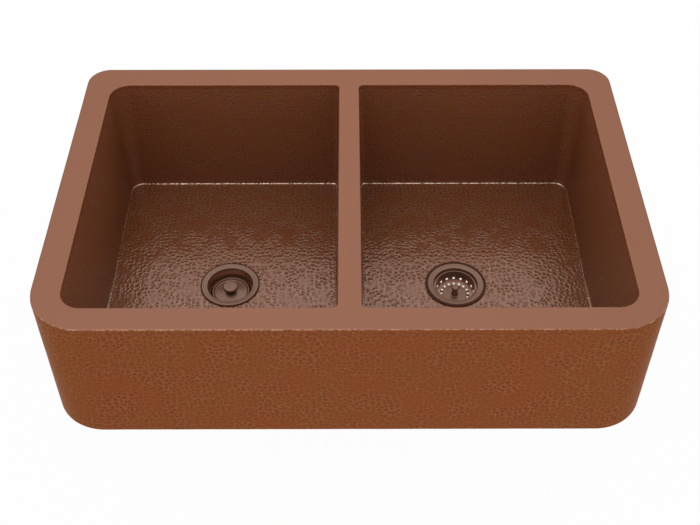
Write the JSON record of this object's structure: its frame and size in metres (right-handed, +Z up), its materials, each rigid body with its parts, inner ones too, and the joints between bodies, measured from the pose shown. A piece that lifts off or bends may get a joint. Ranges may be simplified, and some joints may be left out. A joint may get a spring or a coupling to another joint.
{
  "type": "double-bowl apron front sink",
  "caption": "Farmhouse sink in hammered copper: two deep bowls inside a full skirt with a tall front apron, one drain with a lift-out stopper and one with a basket strainer.",
  "frame": {"origin": "middle of the sink on the rim plane, on top of the divider between the bowls", "axes": "+X to the right as seen from the apron, +Y to the back, +Z up"},
  "size_m": [0.8382, 0.5588, 0.3743],
  "materials": {
    "smooth_copper": "smooth satin copper",
    "hammered_copper": "hand-hammered copper with a mottled brown patina",
    "antique_copper_plate": "satin antique copper",
    "plated_steel": "zinc plated",
    "spring_steel": "bare spring steel",
    "cast_brass": "raw cast brass",
    "brass_tube": "drawn brass tube",
    "black_rubber": "matt rubber",
    "fibre": "pressed fibre"
  },
  "bodies": {
    "sink": {"rim_deck": "smooth_copper", "front_apron": "hammered_copper", "rear_skirt": "hammered_copper", "left_bowl": "hammered_copper", "right_bowl": "hammered_copper", "disposal_flange": "antique_copper_plate", "disposal_gasket": "fibre", "backup_flange": "plated_steel", "mounting_ring": "plated_steel", "mounting_screws": "plated_steel", "snap_ring": "spring_steel", "strainer_body": "antique_copper_plate", "outlet_stub": "cast_brass", "strainer_washer": "black_rubber", "friction_ring": "fibre", "strainer_locknut": "cast_brass", "coupling_nut": "cast_brass", "tailpiece_washer": "black_rubber", "tailpiece": "brass_tube"},
    "stopper": {"stopper_dish": "antique_copper_plate", "stopper_knob": "antique_copper_plate", "stopper_seal": "black_rubber"},
    "basket": {"basket_cup": "antique_copper_plate"},
    "basket_post": {"post_knob": "antique_copper_plate", "post_stem": "cast_brass", "post_plug": "black_rubber", "post_clip": "spring_steel"}
  },
  "joints": [
    {"name": "stopper_lift", "type": "slide", "parent": "sink", "child": "stopper", "axis": [0, 0, 1], "range_m": [0, 0.26]},
    {"name": "basket_lift", "type": "slide", "parent": "sink", "child": "basket", "axis": [0, 0, 1], "range_m": [0, 0.28]},
    {"name": "post_pull", "type": "slide", "parent": "basket", "child": "basket_post", "axis": [0, 0, 1], "range_m": [0, 0.01]}
  ]
}
